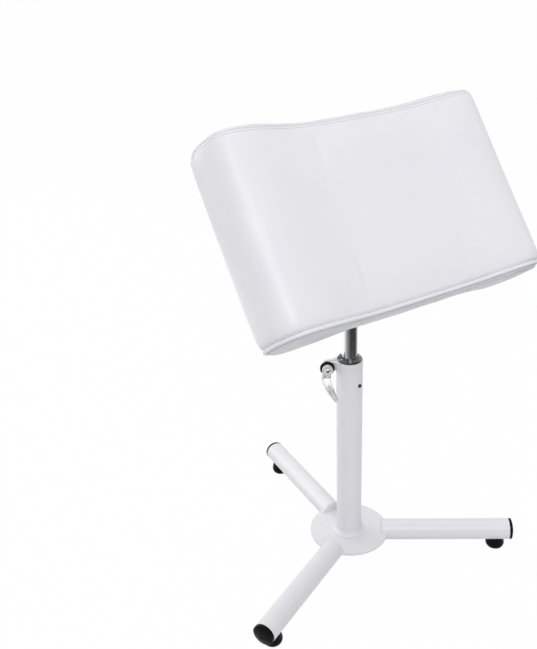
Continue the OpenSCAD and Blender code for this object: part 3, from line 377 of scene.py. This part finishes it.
def make_stitches(paths):
    """Thread of the seams' top stitching: one closed stitch after another, half sunk in the cover,
    along each path of [points, normals]. A stitch is a profile of places along it and radii,
    carried round it, with a point at each end."""
    profile = MM * np.array([
        [-1.32, 0], [-1.15, 0.2], [-0.55, 0.30], [0.55, 0.30], [1.15, 0.2], [1.32, 0]])
    a = np.linspace(0, 2 * np.pi, STITCH_SIDES + 1)[:-1]
    rings = len(profile) - 2
    i = np.arange(rings * STITCH_SIDES).reshape(rings, STITCH_SIDES) + 1
    j = np.roll(i, -1, 1)
    last = rings * STITCH_SIDES + 1
    sides = np.stack([i[:-1], j[:-1], j[1:], i[1:]], -1).reshape(-1, 4)
    ends = np.concatenate([
        np.stack([np.zeros_like(i[0]), j[0], i[0]], -1),
        np.stack([i[-1], j[-1], np.full_like(i[-1], last)], -1)])
    points, faces = [], []
    for path, normal in paths:
        loop = np.concatenate([path, path[:1]])
        turn = np.concatenate([normal, normal[:1]])
        arc = np.concatenate([[0], np.cumsum(np.linalg.norm(np.diff(loop, axis=0), axis=1))])
        count = int(arc[-1] / STITCH_PITCH)
        at = (np.arange(count) + 0.5) * arc[-1] / count
        middle, beyond, up = (
            np.stack([np.interp(place, arc, rows[:, axis]) for axis in range(3)], 1)
            for place, rows in ((at, loop), (at + MM, loop), (at, turn)))
        ahead = unit(beyond - middle)
        side = unit(np.cross(up, ahead))
        up = np.cross(ahead, side)
        middle = middle + up * STITCH_UP
        ring = np.cos(a)[:, None] * side[:, None] + np.sin(a)[:, None] * up[:, None]
        body = (middle[:, None, None] + ahead[:, None, None] * profile[1:-1, 0][:, None, None]
                + ring[:, None] * profile[1:-1, 1][:, None, None])
        tips = [(middle + ahead * profile[e, 0])[:, None] for e in (0, -1)]
        made = np.concatenate([tips[0], body.reshape(count, -1, 3), tips[1]], 1).reshape(-1, 3)
        start = sum(map(len, points)) + np.arange(count)[:, None, None] * (last + 1)
        faces += (sides + start).reshape(-1, 4).tolist() + (ends + start).reshape(-1, 3).tolist()
        points.append(made)
    return new_mesh("cushion_stitches", np.concatenate(points), faces)


def make_welt(name, side):
    """Covered cord: a circle of the welt's radius carried along the cushion's outline, with the
    cover's small creases across it and sines that wind round it as ribs."""
    path = outline(stations(count_end=40, count_face=260), WELT_INSET)
    following = unit(np.roll(path, -1, 0) - np.roll(path, 1, 0))
    outward = np.stack([-following[:, 1], following[:, 0]], 1)
    a = np.linspace(0, 2 * np.pi, WELT_POINTS + 1)[:-1][None, :]
    arc = arc_places(path)[:, None]
    creases = WELT_CREASE * ripple(arc / WELT_CREASE_PITCH, a * 2, seed=12)
    ribs = WELT_RIB * np.sin(arc / WELT_RIB_PITCH + 2 * a)
    radius = WELT_R * (1 + creases + ribs)
    out = radius * np.cos(a)
    points = np.stack([
        path[:, 0:1] + outward[:, 0:1] * out,
        side * (WELT_W + radius * np.sin(a)),
        path[:, 1:2] + outward[:, 1:2] * out], -1)
    faces = grid_faces(len(path), a.shape[1], loop_rows=True)
    if side > 0:
        faces = faces[:, ::-1]
    made = new_mesh(name, lean(points).reshape(-1, 3), faces)
    # The back welt gets a little painted shade
    shade = BACK_WELT_SHADE if side == WELT_SIDES["back"] else 0.0
    write_attribute(made, "painted_shade", np.full(len(made.data.vertices), shade))
    return made


class Finish:
    """One procedural material: nodes are added by short calls and joined to the shader."""

    # Between these values most of a noise lies
    NOISE_LOW, NOISE_HIGH = 0.3, 0.7

    def __init__(self, name, colour, roughness, metallic=0.0):
        self.material = bpy.data.materials.new(name)
        self.material.use_nodes = True
        self.tree = self.material.node_tree
        self.shader = self.tree.nodes["Principled BSDF"]
        self.set("Base Color", (*colour, 1))
        self.set("Roughness", roughness)
        self.set("Metallic", metallic)
        self.place = self.tree.nodes.new("ShaderNodeTexCoord").outputs["Object"]
        self.normal = None

    def set(self, socket, value):
        """Sets one of the shader's own sockets."""
        self.shader.inputs[socket].default_value = value

    def join(self, a, b):
        """Links one socket to another."""
        self.tree.links.new(a, b)

    def noise(self, scale, detail=3.0, roughness=0.5, stretch=None):
        """Noise of so many waves a metre, stretched where an axis has less than 1."""
        node = self.tree.nodes.new("ShaderNodeTexNoise")
        node.inputs["Scale"].default_value = scale
        node.inputs["Detail"].default_value = detail
        node.inputs["Roughness"].default_value = roughness
        place = self.place
        if stretch:
            mapping = self.tree.nodes.new("ShaderNodeMapping")
            mapping.inputs["Scale"].default_value = stretch
            self.join(self.place, mapping.inputs["Vector"])
            place = mapping.outputs["Vector"]
        self.join(place, node.inputs["Vector"])
        return node.outputs["Fac"]

    def cells(self, scale):
        """Distance from the middle of the nearest of many small cells, so many a metre."""
        node = self.tree.nodes.new("ShaderNodeTexVoronoi")
        node.inputs["Scale"].default_value = scale
        self.join(self.place, node.inputs["Vector"])
        return node.outputs["Distance"]

    def hollows(self, distance):
        """How open a place is: 1 on free surfaces, towards 0 down in a recess."""
        node = self.tree.nodes.new("ShaderNodeAmbientOcclusion")
        node.samples = 8
        node.inputs["Distance"].default_value = distance
        return node.outputs["AO"]

    def spread(self, source, low, high, to_low, to_high):
        """Brings a source's values from low and high to to_low and to_high."""
        node = self.tree.nodes.new("ShaderNodeMapRange")
        names = ("From Min", "From Max", "To Min", "To Max")
        for socket, value in zip(names, (low, high, to_low, to_high)):
            node.inputs[socket].default_value = value
        self.join(source, node.inputs["Value"])
        return node.outputs["Result"]

    def tint(self, source, dark, light, low=NOISE_LOW, high=NOISE_HIGH):
        """Base colour that runs from dark to light with a source."""
        ramp = self.tree.nodes.new("ShaderNodeValToRGB")
        ramp.color_ramp.elements[0].position = low
        ramp.color_ramp.elements[0].color = (*dark, 1)
        ramp.color_ramp.elements[1].position = high
        ramp.color_ramp.elements[1].color = (*light, 1)
        self.join(source, ramp.inputs["Fac"])
        self.join(ramp.outputs["Color"], self.shader.inputs["Base Color"])

    def read(self, attribute):
        """The value that a mesh attribute has at a point, 0 on a piece without it."""
        node = self.tree.nodes.new("ShaderNodeAttribute")
        node.attribute_name = attribute
        return node.outputs["Fac"]

    def paint_shade(self, attribute, colour, pattern=None):
        """Paints shade into the base colour: a colour mixed in by a mesh attribute, times a pattern if
        one is given.
        """
        share = self.read(attribute)
        if pattern is not None:
            times = self.tree.nodes.new("ShaderNodeMath")
            times.operation = "MULTIPLY"
            self.join(share, times.inputs[0])
            self.join(pattern, times.inputs[1])
            share = times.outputs[0]
        mix = self.tree.nodes.new("ShaderNodeMix")
        mix.data_type = "RGBA"
        base = self.shader.inputs["Base Color"]
        # A Mix node's colours are its inputs 6 and 7 and its output 2
        self.join(share, mix.inputs[0])
        self.join(base.links[0].from_socket, mix.inputs[6])
        mix.inputs[7].default_value = (*colour, 1)
        self.join(mix.outputs[2], base)

    def rough(self, source, low, high):
        """Roughness that runs from low to high with a source."""
        value = self.spread(source, self.NOISE_LOW, self.NOISE_HIGH, low, high)
        self.join(value, self.shader.inputs["Roughness"])

    def round_edges(self, radius):
        """Shades sharp edges as if they were rounded."""
        node = self.tree.nodes.new("ShaderNodeBevel")
        node.samples = 6
        node.inputs["Radius"].default_value = radius
        self.normal = node.outputs["Normal"]
        self.join(self.normal, self.shader.inputs["Normal"])

    def bump(self, source, distance, strength=1.0, attribute=None):
        """Unevenness as high as distance over a source, everywhere or as an attribute says."""
        node = self.tree.nodes.new("ShaderNodeBump")
        node.inputs["Distance"].default_value = distance
        node.inputs["Strength"].default_value = strength
        if attribute:
            self.join(self.read(attribute), node.inputs["Strength"])
        self.join(source, node.inputs["Height"])
        if self.normal is not None:
            self.join(self.normal, node.inputs["Normal"])
        self.normal = node.outputs["Normal"]
        self.join(self.normal, self.shader.inputs["Normal"])


def make_finishes():
    """Every material by its name: the part's material slots, and three that only the scene has. Each
    is a few layers of noise for its colour, its gloss and its fine surface, and the vinyl and the
    screw also have painted shade in their seams and recess."""
    made = {}

    enamel = Finish("white_enamel", (0.79, 0.79, 0.82), 0.40)
    enamel.set("Coat Weight", 0.18)
    enamel.set("Coat Roughness", 0.16)
    enamel.tint(enamel.noise(9, 4), (0.765, 0.765, 0.80), (0.80, 0.80, 0.83))
    enamel.rough(enamel.noise(60, 3), 0.36, 0.46)
    enamel.round_edges(0.5 * MM)
    enamel.bump(enamel.noise(420, 2), 0.05 * MM, 0.5)
    made["white_enamel"] = enamel

    vinyl = Finish("white_vinyl", (0.82, 0.82, 0.86), 0.42)
    vinyl.set("Coat Weight", 0.12)
    vinyl.set("Coat Roughness", 0.3)
    vinyl.tint(vinyl.noise(14, 4), (0.80, 0.80, 0.845), (0.835, 0.835, 0.865))
    # Painted shade: darkest down in the seams' grooves, lighter over the side panels, the stitches'
    # ring and the back welt
    vinyl.paint_shade("painted_shade", (0.42, 0.42, 0.45))
    wrinkles = vinyl.noise(260, 3, 0.55, (0.35, 1, 1))
    # Painted shade that follows the side panels' wrinkles
    vinyl.paint_shade("panel", (0.36, 0.36, 0.39), vinyl.spread(wrinkles, 0.42, 0.68, 0, 0.18))
    vinyl.rough(vinyl.noise(90, 3), 0.38, 0.48)
    vinyl.bump(vinyl.noise(70, 3), 0.25 * MM, 0.35)
    vinyl.bump(wrinkles, 0.6 * MM, attribute="panel")
    vinyl.bump(vinyl.cells(1100), 0.08 * MM, 0.5)
    made["white_vinyl"] = vinyl

    thread = Finish("white_thread", (0.70, 0.70, 0.73), 0.6)
    thread.tint(thread.noise(900, 2), (0.62, 0.62, 0.65), (0.76, 0.76, 0.79))
    thread.bump(thread.noise(2500, 2), 0.05 * MM, 0.6)
    made["white_thread"] = thread

    plastic = Finish("black_plastic", (0.005, 0.005, 0.006), 0.26)
    plastic.set("Specular IOR Level", 0.07)
    plastic.tint(plastic.noise(25, 3), (0.002, 0.002, 0.002), (0.005, 0.005, 0.005))
    plastic.rough(plastic.noise(150, 3), 0.20, 0.32)
    plastic.round_edges(0.4 * MM)
    plastic.bump(plastic.noise(1500, 2), 0.04 * MM, 0.6)
    made["black_plastic"] = plastic

    gloss = Finish("glossy_black", (0.006, 0.006, 0.007), 0.16)
    gloss.set("Coat Weight", 1.0)
    gloss.set("Coat Roughness", 0.06)
    gloss.tint(gloss.noise(40, 3), (0.004, 0.004, 0.005), (0.009, 0.009, 0.010))
    gloss.rough(gloss.noise(200, 3), 0.12, 0.22)
    gloss.round_edges(0.3 * MM)
    gloss.bump(gloss.noise(900, 2), 0.02 * MM, 0.5)
    made["glossy_black"] = gloss

    oxide = Finish("black_steel", (0.03, 0.03, 0.032), 0.36, metallic=0.6)
    oxide.tint(oxide.noise(300, 3), (0.02, 0.02, 0.022), (0.045, 0.045, 0.047))
    oxide.round_edges(0.25 * MM)
    made["black_steel"] = oxide

    rubber = Finish("black_rubber", (0.006, 0.006, 0.006), 0.45)
    rubber.set("Specular IOR Level", 0.07)
    rubber.tint(rubber.noise(60, 4), (0.002, 0.002, 0.002), (0.005, 0.005, 0.005))
    rubber.rough(rubber.noise(120, 3), 0.34, 0.50)
    rubber.round_edges(0.6 * MM)
    rubber.bump(rubber.noise(900, 2), 0.06 * MM, 0.6)
    made["black_rubber"] = rubber

    chrome = Finish("chrome", (0.66, 0.67, 0.69), 0.08, metallic=1.0)
    chrome.rough(chrome.noise(120, 4, 0.6, (1, 1, 0.06)), 0.05, 0.14)
    chrome.round_edges(0.3 * MM)
    chrome.bump(chrome.noise(700, 2, 0.5, (1, 1, 0.03)), 0.01 * MM, 0.5)
    made["chrome"] = chrome

    head = Finish("chrome_screw", (0.72, 0.72, 0.74), 0.14, metallic=1.0)
    # Painted shade: the screw's cross recess goes near black the more closed in it is
    head.tint(head.hollows(2.4 * MM), (0.01, 0.01, 0.01), (0.76, 0.76, 0.78), 0.62, 0.92)
    head.round_edges(0.15 * MM)
    head.bump(head.noise(900, 2), 0.015 * MM, 0.5)
    made["chrome_screw"] = head

    silver = Finish("satin_silver", (0.84, 0.84, 0.86), 0.36, metallic=0.65)
    silver.tint(silver.noise(160, 4), (0.80, 0.80, 0.82), (0.88, 0.88, 0.89))
    silver.rough(silver.noise(300, 3), 0.32, 0.42)
    silver.round_edges(0.5 * MM)
    silver.bump(silver.noise(700, 3), 0.02 * MM, 0.5)
    made["satin_silver"] = silver

    zinc = Finish("zinc_steel", (0.60, 0.61, 0.63), 0.32, metallic=1.0)
    zinc.tint(zinc.noise(140, 5), (0.52, 0.53, 0.56), (0.66, 0.67, 0.68))
    zinc.rough(zinc.noise(260, 4), 0.25, 0.42)
    zinc.round_edges(0.5 * MM)
    zinc.bump(zinc.noise(900, 3), 0.03 * MM, 0.5)
    made["zinc_steel"] = zinc

    nylon = Finish("nylon", (0.78, 0.76, 0.70), 0.45)
    nylon.tint(nylon.noise(60, 3), (0.74, 0.72, 0.65), (0.80, 0.78, 0.72))
    nylon.set("Subsurface Weight", 0.1)
    nylon.round_edges(0.3 * MM)
    made["nylon"] = nylon

    ply = Finish("plywood", (0.62, 0.44, 0.26), 0.6)
    ply.tint(ply.noise(40, 5, 0.6, (1, 8, 8)), (0.50, 0.34, 0.19), (0.70, 0.52, 0.32))
    made["plywood"] = ply

    foam = Finish("foam", (0.80, 0.74, 0.55), 0.9)
    foam.tint(foam.noise(200, 4), (0.74, 0.68, 0.48), (0.84, 0.78, 0.6))
    foam.bump(foam.cells(1200), 0.3 * MM, 0.8)
    made["foam"] = foam
    return {name: finish.material for name, finish in made.items()}


def softbox(name, place, target, width, height, power):
    """White lamp of the given size at place, with its beam on target."""
    light = bpy.data.lights.new(name, "AREA")
    light.shape = "RECTANGLE"
    light.size, light.size_y = width, height
    light.energy = power
    lamp = bpy.data.objects.new(name, light)
    bpy.context.scene.collection.objects.link(lamp)
    turn = (Vector(target) - Vector(place)).to_track_quat("-Z", "Y").to_matrix().to_4x4()
    lamp.matrix_world = Matrix.Translation(Vector(place)) @ turn


def greatest(tree, first, second):
    """Output socket with the greater of two values."""
    node = tree.nodes.new("ShaderNodeMath")
    node.operation = "MAXIMUM"
    tree.links.new(first, node.inputs[0])
    tree.links.new(second, node.inputs[1])
    return node.outputs[0]


def graded_card(name, bearings, levels, distance, low, high):
    """Curved card round the object, seen in its reflections only: a strip of a cylinder's wall from
    the first bearing to the last, in degrees, whose brightness runs straight between the levels."""
    bearing = np.linspace(bearings[0], bearings[-1], 121)
    level = np.interp(bearing, bearings, levels)
    a = np.radians(bearing)
    wall = np.stack([distance * np.cos(a), distance * np.sin(a), np.full_like(a, low)], 1)
    points = np.concatenate([wall, wall + [0, 0, high - low]])
    card = new_mesh(name, points, grid_faces(2, len(a), loop_columns=False))
    write_attribute(card, "card_level", np.concatenate([level, level]))
    material = bpy.data.materials.new(name)
    material.use_nodes = True
    nodes, links = material.node_tree.nodes, material.node_tree.links
    nodes.clear()
    read = nodes.new("ShaderNodeAttribute")
    read.attribute_name = "card_level"
    glow = nodes.new("ShaderNodeEmission")
    links.new(read.outputs["Fac"], glow.inputs["Strength"])
    out = nodes.new("ShaderNodeOutputMaterial")
    links.new(glow.outputs[0], out.inputs["Surface"])
    card.data.materials.append(material)
    card.visible_camera = False
    card.visible_diffuse = False
    card.visible_shadow = False
    card.visible_transmission = False


def make_room():
    """World that lights the object plainly, and shows white to the camera, gloss and glass."""
    world = bpy.data.worlds.new("studio")
    bpy.context.scene.world = world
    world.use_nodes = True
    tree = world.node_tree
    nodes, links = tree.nodes, tree.links
    nodes.clear()
    rays = nodes.new("ShaderNodeLightPath")
    looking = greatest(tree, rays.outputs["Is Camera Ray"], rays.outputs["Is Glossy Ray"])
    looking = greatest(tree, looking, rays.outputs["Is Transmission Ray"])
    mix = nodes.new("ShaderNodeMixShader")
    links.new(looking, mix.inputs["Fac"])
    for socket, strength in ((1, ROOM_LIGHT), (2, 1.0)):
        background = nodes.new("ShaderNodeBackground")
        background.inputs["Color"].default_value = (1, 1, 1, 1)
        background.inputs["Strength"].default_value = strength
        links.new(background.outputs[0], mix.inputs[socket])
    out = nodes.new("ShaderNodeOutputWorld")
    links.new(mix.outputs[0], out.inputs["Surface"])


def make_floor():
    """Pale floor, near white to the camera and in reflections, that keeps the object's shadow."""
    r = FLOOR_REACH
    corners = np.array([[-r, -r, 0], [r, -r, 0], [r, r, 0], [-r, r, 0]])
    floor = new_mesh("studio_floor", corners, [[0, 1, 2, 3]])
    material = bpy.data.materials.new("pale_floor")
    material.use_nodes = True
    tree = material.node_tree
    nodes, links = tree.nodes, tree.links
    shader = nodes["Principled BSDF"]
    shader.inputs["Base Color"].default_value = (0.72, 0.72, 0.73, 1)
    shader.inputs["Roughness"].default_value = 0.9
    glow = nodes.new("ShaderNodeEmission")
    glow.inputs["Color"].default_value = (1, 1, 1, 1)
    rays = nodes.new("ShaderNodeLightPath")
    looking = greatest(tree, rays.outputs["Is Glossy Ray"], rays.outputs["Is Camera Ray"])
    share = nodes.new("ShaderNodeMath")
    share.operation = "MULTIPLY"
    share.inputs[1].default_value = FLOOR_GLOW
    links.new(looking, share.inputs[0])
    mix = nodes.new("ShaderNodeMixShader")
    links.new(share.outputs[0], mix.inputs["Fac"])
    links.new(shader.outputs[0], mix.inputs[1])
    links.new(glow.outputs[0], mix.inputs[2])
    links.new(mix.outputs[0], nodes["Material Output"].inputs["Surface"])
    floor.data.materials.append(material)


def make_studio():
    """Pale floor, white surroundings, soft lamps, and a card that the chrome reflects."""
    bpy.context.scene.view_settings.view_transform = "Standard"
    make_room()
    make_floor()
    graded_card("post_card",
                (60, 148, 165, 181, 195, 209, 222, 236, 244, 322, 333, 345, 362),
                (1.4, 1.4, 1.05, 0.62, 0.46, 0.30, 0.21, 0.15, 0.06, 0.065, 0.18, 0.30, 0.42),
                distance=0.42, low=0.035, high=0.30)
    softbox("key_softbox", (-1.12, -1.9, 2.0), (0, 0, 0.4), 1.6, 1.6, power=27)
    softbox("fill_softbox", (1.8, -1.2, 1.2), (0, 0, 0.4), 1.4, 1.4, power=1.2)
    softbox("rim_softbox", (-0.95, 1.95, 0.75), (0, 0, 0.25), 1.0, 1.2, power=12)
    softbox("top_softbox", (0.2, 0.6, 2.4), (0, 0, 0.3), 1.6, 1.6, power=12.5)


def make_camera():
    """Camera as fitted to the photograph: place, and its right, up and backward directions."""
    data = bpy.data.cameras.new("photo_camera")
    data.sensor_width = 36.0
    data.sensor_fit = "AUTO"
    data.lens = 47.159
    data.clip_start = 0.01
    camera = bpy.data.objects.new("photo_camera", data)
    bpy.context.scene.collection.objects.link(camera)
    right = Vector((0.856261, -0.515041, -0.039376))
    up = Vector((0.259907, 0.363711, 0.894518))
    backward = Vector((-0.446392, -0.776175, 0.445294))
    place = Vector((-0.529308, -0.728530, 0.782495))
    turn = Matrix((right, up, backward)).transposed().to_4x4()
    camera.matrix_world = Matrix.Translation(place) @ turn
    bpy.context.scene.camera = camera


make_camera()
make_studio()
finishes = make_finishes()

# The CAD nodes take the material of their slot, but two small pieces are glossier than theirs, and the
# lever's screw has painted shade in its cross recess
slots = {part["node"]: part["material_slot"] for part in frame["record"]["subparts"]}
slots["lever_screw"] = "chrome_screw"
slots["column_bushing"] = "glossy_black"
for node, solid in frame["nodes"].items():
    for slot in solid.material_slots:
        slot.material = finishes[slots[node]]

cover, stitch_paths = make_cover()
cover.data.materials.append(finishes["white_vinyl"])
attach(cover, "cushion")
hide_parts("cover_wrap", "side_panel_front", "side_panel_back", "foam_core")

for name, side in WELT_SIDES.items():
    cord = make_welt(f"cushion_welt_{name}", side)
    cord.data.materials.append(finishes["white_vinyl"])
    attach(cord, "cushion")
    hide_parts(f"welt_{name}")

stitches = make_stitches(stitch_paths)
stitches.data.materials.append(finishes["white_thread"])
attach(stitches, "cushion")
